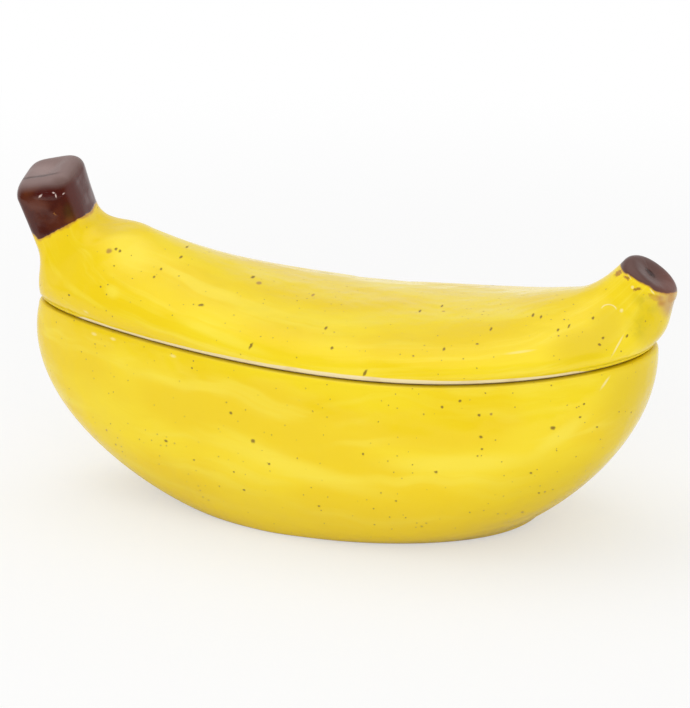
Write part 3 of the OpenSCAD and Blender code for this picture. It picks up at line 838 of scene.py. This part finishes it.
def yellow(net, piece, patches, dark, pink):
    """The speckled glaze: millimetres, colour, roughness and relief"""
    mm = net.vector("SCALE", net.node("ShaderNodeTexCoord").outputs["Object"], 1 / MM)
    up = net.split(mm)[2]
    drift = net.vector("SCALE", net.noise(mm, DRIFT_SCALE, output="Color"), DRIFT)
    flow = net.vector("ADD", net.attribute("flow", "Vector"), drift)
    broad = net.noise(net.vector("MULTIPLY", mm, BROAD_SCALE))
    streak = net.noise(net.vector("MULTIPLY", flow, STREAK_SCALE), 1.0, 3.0)
    fine = net.noise(net.vector("MULTIPLY", flow, FINE_SCALE), 1.0, 3.0, 0.6)
    colour = net.mix(net.step(broad, 0.4, 0.62), YELLOW, DEEP_YELLOW)
    colour = net.over(colour, PALE_YELLOW, 0.55, net.step(streak, 0.48, 0.7))
    colour = net.over(colour, DEEP_YELLOW, 0.3, net.step(fine, 0.5, 0.72))
    colour = tint(net, mm, piece, colour, patches)
    # Painted shade: ochre toward the bottom
    colour = net.over(colour, BOTTOM_SHADE_OCHRE, 0.8, net.step(up, OCHRE_FROM, OCHRE_TO))
    wobble = net.vector("SUBTRACT", net.noise(mm, WOBBLE_SCALE, output="Color"), (0.5, 0.5, 0.5))
    place = net.vector("ADD", mm, net.vector("SCALE", wobble, WOBBLE))
    small, small_tone = spots(net, place, *SMALL_SPECKS)
    middle, middle_tone = spots(net, net.vector("ADD", place, MIDDLE_START), *MIDDLE_SPECKS)
    named = marks(net, place, piece, dark)
    colour = net.over(colour, net.mix(small_tone, SPECK_LIGHT, SPECK_DARK), 0.75, small)
    colour = net.over(colour, net.mix(middle_tone, SPECK_PINK, SPECK_DARK), 0.8, middle)
    if pink:
        colour = net.over(colour, SPECK_PINK, 0.8, marks(net, place, piece, pink))
    colour = net.over(colour, SPECK_DARK, 0.8, named)
    specks = net.most(small, middle, named)
    relief = net.add(net.times(WAVE_HIGH, net.noise(mm, 0.07)), net.times(RIPPLE_HIGH, net.noise(mm, 0.35)),
                     net.times(STREAK_HIGH, streak), net.times(SPECK_HIGH, specks))
    rough = net.add(GLAZE_ROUGH, net.times(ROUGH_SPREAD, net.noise(mm, 0.25)))
    return mm, colour, net.blend(specks, rough, SPECK_ROUGH), relief


def clay(net, mm):
    """The bare clay: colour and relief"""
    grain = net.noise(mm, 2.5, 4.0, 0.7)
    colour = net.mix(net.step(net.noise(mm, 0.12, 3.0), 0.45, 0.7), CLAY, CLAY_DARK)
    colour = net.over(colour, CLAY_DARK, 0.3, net.step(grain, 0.55, 0.75))
    return colour, net.times(CLAY_HIGH, grain)


# Where the dark edge of the dish's rim, thin glaze with painted shade of the seam under the lid, fades along
# its length, and how far down it reaches, in millimetres
RIM_EDGE_FADE, RIM_EDGE_DROP = (92, 100), 0.65


def dish_material():
    net = Net(bpy.data.materials.new("dish_glaze"))
    mm, colour, rough, relief = yellow(net, dish, DISH_PATCHES, MARKS_DISH, ())
    clay_colour, clay_relief = clay(net, mm)

    def patch(*place):
        return cloud(net, mm, dish, *place)

    # Painted reflections by the rim
    colour = net.over(colour, PALE_GLAZE_AND_HIGHLIGHT, 0.45, strongest(net, patch, DISH_HIGHLIGHTS))
    bare = net.step(net.add(net.attribute("bare"), net.uneven(mm, 0.5, 0.08)), 0.7, 0.95)
    colour = net.mix(net.step(net.attribute("inside"), 0.3, 0.7), colour, INNER_GLAZE)
    # The rim's dark edge: thin glaze, and painted shade of the seam
    ends = net.step(net.math("ABSOLUTE", net.split(mm)[0]), *RIM_EDGE_FADE)
    rim_edge = net.times(net.blend(ends, 0.8, 0.3), net.step(net.attribute("drop"), RIM_EDGE_DROP, 0.0))
    edge = net.most(net.step(net.attribute("bare"), 0.05, 0.35), rim_edge)
    colour = net.mix(edge, colour, EDGE_GLAZE_AND_SEAM_SHADE)
    colour = net.mix(bare, colour, clay_colour)
    # Painted highlight along the small raised streak
    ridge = patch(*DISH_RIDGE_HIGHLIGHT)
    colour = net.over(colour, PALE_GLAZE_AND_HIGHLIGHT, 0.6, ridge)
    relief = net.add(relief, net.times(RIDGE_HIGH, ridge), net.times(bare, clay_relief))
    return net.finish(colour, net.blend(bare, rough, CLAY_ROUGH), relief)


# The bare lip: where it begins and ends along the lid, where it is highest, how high, and the value for none
LIP_X, LIP_HIGH_X = (-87, -80, 80, 90), (-75, 40, 50, 95)
LIP_HIGH, GLAZED_TO = 0.9, -2.2
# How the brown's edge leaves the plane of the stem's base: a rise toward the outer corner and toward the back
STEM_CORNER_X, STEM_CORNER_RISE = (-98, -101.5), 3
STEM_BACK_Y, STEM_BACK_RISE = (0, 6), 1
# Rise of the blossom's brown edge along the length, where it crosses the end's plane, and its step
TIP_EDGE_RISE, TIP_EDGE_X = 0.2, 94.5
TIP_EDGE_STEP, TIP_STEP_START, TIP_STEP_END = 0.5, (91.5, 93.5), (102, 100)
# Distances from the brown's edges, in millimetres, between which the brown and its rusty stain begin
STEM_EDGE, TIP_EDGE, STEM_STAIN, TIP_STAIN = (-0.15, 0.15), (-0.15, 0.15), (-1.2, -0.1), (-0.5, 0)
# The same for the brown glaze's rise over the yellow
BROWN_RAMP = (-0.3, 0.5)
# Along the length: where stem and tip are, where the painted reflection on the stem's top turns dark, and
# where the tip turns red
STEM_SIDE_X, TIP_SIDE_X, DARK_TOP_X, TIP_RED_X = -60, 60, (-94, -84), (99, 106)
# The crease across the stem's end: two pixels that it runs through, its half width, and where it fades out
CREASE_FROM, CREASE_TO, CREASE_WIDTH, CREASE_FADE = (25.5, 178.4), (50, 174.5), 0.45, (-91, -95.5)
# How far the outlines of the smudges wander, in millimetres
SMEAR = 1


def stem_brown(net, mm, rough_edge):
    """Distance from the stem's brown edge, upward"""
    x, y = net.split(mm)[:2]
    up = (-sin(BASE_SLOPE), 0.0, cos(BASE_SLOPE))
    start = up[0] * float(STEM_BASE[0] - MID_X) + up[2] * float(STEM_BASE[1])
    return net.add(net.vector("DOT_PRODUCT", mm, up), -start, rough_edge,
                   net.times(-STEM_CORNER_RISE, net.step(x, *STEM_CORNER_X)),
                   net.times(-STEM_BACK_RISE, net.step(y, *STEM_BACK_Y)))


def tip_brown(net, mm, rough_edge):
    """Distance from the blossom end's brown edge, outward"""
    x = net.split(mm)[0]
    out = (sin(TIP_FACE), 0.0, cos(TIP_FACE))
    start = out[0] * float(TIP_MID[0] - MID_X) + out[2] * float(TIP_MID[1])
    return net.add(net.vector("DOT_PRODUCT", mm, out), -start, rough_edge,
                   net.times(-TIP_EDGE_RISE, net.math("SUBTRACT", x, TIP_EDGE_X)),
                   net.times(-TIP_EDGE_STEP, net.step(x, *TIP_STEP_START), net.step(x, *TIP_STEP_END)))


def thin_ring(net, mm):
    """The upper part of a thin ring of painted highlight on the lid's glaze"""
    centre = seen(lid, *ARC_AT)
    off = net.math("SUBTRACT", net.patch(mm, centre, (ARC_RADIUS, 3 * ARC_RADIUS, 0.6 * ARC_RADIUS)), 1.0)
    upper = net.step(net.split(mm)[2], centre.z, centre.z + ARC_RADIUS / 3)
    width = ARC_WIDTH / ARC_RADIUS
    return net.times(upper, net.step(net.math("ABSOLUTE", off), width, 0.2 * width))


def bare_lip(net, mm, x):
    """A mask of the bare clay along the lid's edge"""
    fade = net.times(net.step(x, LIP_X[0], LIP_X[1]), net.step(x, LIP_X[3], LIP_X[2]))
    high = net.times(LIP_HIGH, net.step(x, LIP_HIGH_X[0], LIP_HIGH_X[1]),
                     net.step(x, LIP_HIGH_X[3], LIP_HIGH_X[2]))
    height = net.blend(fade, GLAZED_TO, net.add(high, net.uneven(mm, 0.06, 0.3)))
    return net.step(net.attribute("lip"), height, net.math("SUBTRACT", height, 0.4))


def lid_shapes(net, mm):
    """Shapes of marks: a soft patch, one with a wandering outline, and one with a frayed outline"""
    wander = net.noise(mm, 0.35, 3.0, output="Color")
    ragged = net.noise(mm, 0.9, 3.0, 0.7, output="Color")
    smeared = net.vector("ADD", mm, net.vector("SCALE", wander, SMEAR))
    frayed = net.vector("ADD", mm, net.vector("SCALE", ragged, 2 * SMEAR))
    # The middle of what the noise adds, which moves the marks' places along
    middle = Vector((1, 1, 1)) * SMEAR / 2

    def patch(*place):
        return cloud(net, mm, lid, *place)

    def smudge(u, v, half, tilt, soft=0.4):
        return net.step(net.patch(smeared, seen(lid, u, v) + middle, half, tilt), 1.0, soft)

    def fray(u, v, half, tilt):
        return net.step(net.patch(frayed, seen(lid, u, v) + 2 * middle, half, tilt), 1.1, 0.5)

    return patch, smudge, fray


def tip_marks(net, mm, colour, smudge, fray):
    """The colour with olive and tan smudges, a pale glaze edge and painted glints, and brown dabs over it,
    round the blossom end
    """
    olive = net.times(strongest(net, smudge, OLIVE_SMUDGES),
                      net.add(0.6, net.step(net.noise(mm, 0.35, 3.0), 0.4, 0.65)))
    rusty = net.most(strongest(net, smudge, RUST_SMUDGES), strongest(net, fray, RUST_DABS))
    dab_colour = net.mix(net.step(net.noise(mm, 1.2, 2.0), 0.4, 0.6), DAB, RUST)
    colour = net.over(colour, OLIVE, 0.5, olive)
    colour = net.over(colour, TAN, 0.85, strongest(net, smudge, TAN_SMUDGES))
    colour = net.over(colour, RUST, 0.7, rusty)
    colour = net.over(colour, PALE_GLAZE_AND_HIGHLIGHT, 0.55, strongest(net, smudge, PALE_EDGE_AND_GLINTS))
    return net.over(colour, dab_colour, 0.85, strongest(net, fray, BROWN_DABS))


def stem_paint(net, mm, x, patch, smudge, fray):
    """The stem's brown, reddish in front and lighter on the sides and the top, where the sides take painted
    shading and the top a painted reflection with a painted highlight, with painted glints and a painted
    orange glint on the front; and a mask of the top
    """
    facing = net.split(net.node("ShaderNodeNewGeometry").outputs["Normal"])
    colour = net.mix(net.step(net.noise(mm, 0.15, 3.0), 0.45, 0.7), BROWN, BROWN_LIGHT)
    colour = tint(net, mm, lid, colour, STEM_PATCHES)
    # Painted shading on the faces turned to the sides
    colour = net.mix(net.step(net.math("ABSOLUTE", facing[0]), 0.45, 0.9), colour, BROWN_SIDE_SHADING)
    # Painted reflection on the faces that turn up, with a painted highlight and a darker part
    top = net.step(facing[2], 0.3, 0.85)
    top_reflection = net.over(STEM_TOP_REFLECTION, STEM_TOP_HIGHLIGHT, 0.6, patch(*STEM_TOP_HIGHLIGHT_AT))
    dark_top = net.most(net.step(x, *DARK_TOP_X), net.times(0.8, patch(*STEM_TOP_DIM_AT)))
    colour = net.mix(top, colour, net.mix(dark_top, top_reflection, STEM_TOP_DIM_REFLECTION))
    colour = net.over(colour, GLINT, 0.75, strongest(net, smudge, STEM_GLINTS))
    # Painted orange glint
    return net.over(colour, RUST, 0.4, strongest(net, fray, STEM_ORANGE_GLINT)), top


def stem_crease(net, mm, x, stem):
    """A mask of the crease across the stem's end, darkened by painted shade, which lies in one plane with the
    camera
    """
    start, end = (seen(lid, *pixel) - EYE for pixel in (CREASE_FROM, CREASE_TO))
    across = start.cross(end).normalized()
    off = net.add(net.vector("DOT_PRODUCT", mm, across), -EYE.dot(across), net.uneven(mm, 0.2, 0.15))
    near = net.step(net.math("ABSOLUTE", off), CREASE_WIDTH, 0.0)
    return net.times(stem, near, net.step(x, *CREASE_FADE))


def lid_material():
    net = Net(bpy.data.materials.new("lid_glaze"))
    mm, colour, rough, relief = yellow(net, lid, LID_PATCHES, MARKS_LID, PINK_LID)
    x = net.split(mm)[0]
    patch, smudge, fray = lid_shapes(net, mm)
    at_stem = net.math("LESS_THAN", x, STEM_SIDE_X)
    at_tip = net.math("GREATER_THAN", x, TIP_SIDE_X)
    rough_edge = net.add(net.uneven(mm, 0.25, 0.3), net.uneven(mm, 0.9, 0.12))
    stem_dist = stem_brown(net, mm, rough_edge)
    tip_dist = tip_brown(net, mm, net.times(0.5, rough_edge))
    stem = net.times(at_stem, net.step(stem_dist, *STEM_EDGE))
    tip = net.times(at_tip, net.step(tip_dist, *TIP_EDGE))

    # Marks in the yellow, and the rusty stain before the brown
    colour = tip_marks(net, mm, colour, smudge, fray)
    stain = net.step(net.add(stem_dist, net.uneven(mm, 0.2, 0.5)), *STEM_STAIN)
    edge = net.most(net.times(at_stem, stain), net.times(at_tip, net.step(tip_dist, *TIP_STAIN)),
                    net.times(at_stem, patch(*STEM_EDGE_STAIN)))
    colour = net.over(colour, RUST, 0.7, edge)

    # The brown stem, and the blossom end with its slit darkened by painted shade
    stem_colour, top = stem_paint(net, mm, x, patch, smudge, fray)
    slit = net.step(net.patch(mm, seen(lid, *SLIT_AT), SLIT_HALF, -TIP_FACE), 1.0, 0.3)
    tip_colour = net.mix(net.step(x, *TIP_RED_X), TIP_BROWN, TIP_RED)
    tip_colour = net.over(tip_colour, RECESS_SHADE, 0.9, slit)
    colour = net.mix(stem, colour, stem_colour)
    colour = net.mix(tip, colour, tip_colour)
    crease = stem_crease(net, mm, x, stem)
    colour = net.over(colour, RECESS_SHADE, 0.6, crease)
    # Painted highlights: the pale marks and the thin ring of light
    highlights = net.most(strongest(net, patch, LID_HIGHLIGHTS), thin_ring(net, mm))
    colour = net.over(colour, PALE_GLAZE_AND_HIGHLIGHT, 0.6, highlights)

    # Relief, with the wrinkles on the stem's front, and roughness
    wrinkles = net.noise(net.vector("MULTIPLY", mm, (0.5, 0.8, 0.9)), 1.0, 3.0, 0.6)
    wrinkles = net.times(stem, patch(*STEM_WRINKLES), wrinkles)
    brown = net.most(net.times(at_stem, net.step(stem_dist, *BROWN_RAMP)),
                     net.times(at_tip, net.step(tip_dist, *BROWN_RAMP)))
    relief = net.add(relief, net.times(BROWN_HIGH, brown), net.times(CREASE_HIGH, crease),
                     net.times(WRINKLE_HIGH, wrinkles), net.times(SLIT_HIGH, slit, tip),
                     net.times(HIGHLIGHT_HIGH, highlights))
    rough = net.blend(stem, rough, net.blend(top, STEM_ROUGH, STEM_TOP_ROUGH))
    rough = net.blend(tip, rough, TIP_ROUGH)

    # The inside, and the bare clay of the lip
    colour = net.mix(net.step(net.attribute("inside"), 0.3, 0.7), colour, INNER_GLAZE)
    bare = bare_lip(net, mm, x)
    clay_colour, clay_relief = clay(net, mm)
    colour = net.mix(bare, colour, clay_colour)
    relief = net.add(relief, net.times(bare, clay_relief))
    return net.finish(colour, net.blend(bare, rough, CLAY_ROUGH), relief)


dish.data.materials.append(dish_material())
lid.data.materials.append(lid_material())

for piece, body, node, slot in ((dish, "dish", "base_dish", "dish_glaze"), (lid, "lid", "lid", "lid_glaze")):
    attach(piece, body)
    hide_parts(node)


# Studio: a white floor and background, soft light from all around and more from above

# Sizes in metres. The floor turns into the background at a distance, and for mirrored rays in front as well.
FLOOR_SIZE, FLOOR_DROP, FLOOR_FAR, FLOOR_FRONT_Y = 12, 0.0001, (0.25, 0.6), (-0.12, -0.35)
FLOOR_GREY, FLOOR_LIFT = (0.9, 0.9, 0.9), 0.5
# Strength of the world's light, and of what mirrored rays meet, with the directions where each one takes over
WORLD_LIGHT = 0.83
ROOM_BACK, ROOM_BACK_Y = 0.75, (0.2, 0.8)
HALFWAY_UP, HALFWAY_UP_Z = 0.5, (0.25, 0.5)
ROOM_FRONT, ROOM_FRONT_Y = 0.2, (-0.1, -0.6)
OVERHEAD, OVERHEAD_Z = 1.15, (0.65, 0.92)
# Lamps: name, place, width, height, power
LAMPS = (("top_softbox", (-0.35, 0.15, 1.1), 1.0, 0.8, 2.5), ("front_fill", (0.3, -1.3, 0.6), 1.2, 0.8, 4.5))
LAMP_AIM = (0, 0, 0.05)


def seen_rays(net):
    """Masks of the rays from the camera, and of those that a glossy or clear surface sends on"""
    path = net.node("ShaderNodeLightPath").outputs
    return path["Is Camera Ray"], net.most(path["Is Glossy Ray"], path["Is Transmission Ray"])


def build_floor():
    h = FLOOR_SIZE / 2
    me = bpy.data.meshes.new("studio_floor")
    z = -FLOOR_DROP
    me.from_pydata([(-h, -h, z), (h, -h, z), (h, h, z), (-h, h, z)], [], [(0, 1, 2, 3)])
    ob = add_object("studio_floor", me)
    net = Net(bpy.data.materials.new("studio_floor"))
    camera, gloss = seen_rays(net)
    place = net.node("ShaderNodeTexCoord").outputs["Object"]
    far = net.step(net.vector("LENGTH", place), *FLOOR_FAR)
    front = net.step(net.split(place)[1], *FLOOR_FRONT_Y)
    share = net.add(net.times(camera, net.blend(far, FLOOR_LIFT, 1.0)),
                    net.times(gloss, net.most(far, front)))
    matt = net.node("ShaderNodeBsdfDiffuse", {"Color": FLOOR_GREY})
    white = net.node("ShaderNodeEmission", {"Strength": net.blend(net.times(gloss, front), 1.0, ROOM_FRONT)})
    both = net.node("ShaderNodeMixShader", {0: share, 1: matt.outputs[0], 2: white.outputs[0]})
    me.materials.append(net.output(both))


def build_world():
    world = bpy.data.worlds.new("studio")
    bpy.context.scene.world = world
    net = Net(world)
    camera, gloss = seen_rays(net)
    y, z = net.split(net.node("ShaderNodeTexCoord").outputs["Generated"])[1:]
    mirrored = net.blend(net.step(y, *ROOM_BACK_Y), 1.0, ROOM_BACK)
    mirrored = net.blend(net.step(z, *HALFWAY_UP_Z), mirrored, HALFWAY_UP)
    mirrored = net.blend(net.step(y, *ROOM_FRONT_Y), mirrored, ROOM_FRONT)
    mirrored = net.blend(net.step(z, *OVERHEAD_Z), mirrored, OVERHEAD)
    strength = net.blend(camera, net.blend(gloss, WORLD_LIGHT, mirrored), 1.0)
    shade = net.node("ShaderNodeBackground", {"Color": (1, 1, 1), "Strength": strength})
    net.output(shade, "ShaderNodeOutputWorld")


def add_lamp(name, place, width, height, power):
    data = bpy.data.lights.new(name, "AREA")
    data.shape = "RECTANGLE"
    data.size = width
    data.size_y = height
    data.energy = power
    ob = add_object(name, data)
    ob.location = place
    ob.rotation_euler = (Vector(LAMP_AIM) - Vector(place)).to_track_quat("-Z", "Y").to_euler()
    ob.visible_glossy = False


build_floor()
build_world()
for lamp in LAMPS:
    add_lamp(*lamp)
add_camera()

bpy.context.scene.view_settings.view_transform = "Standard"
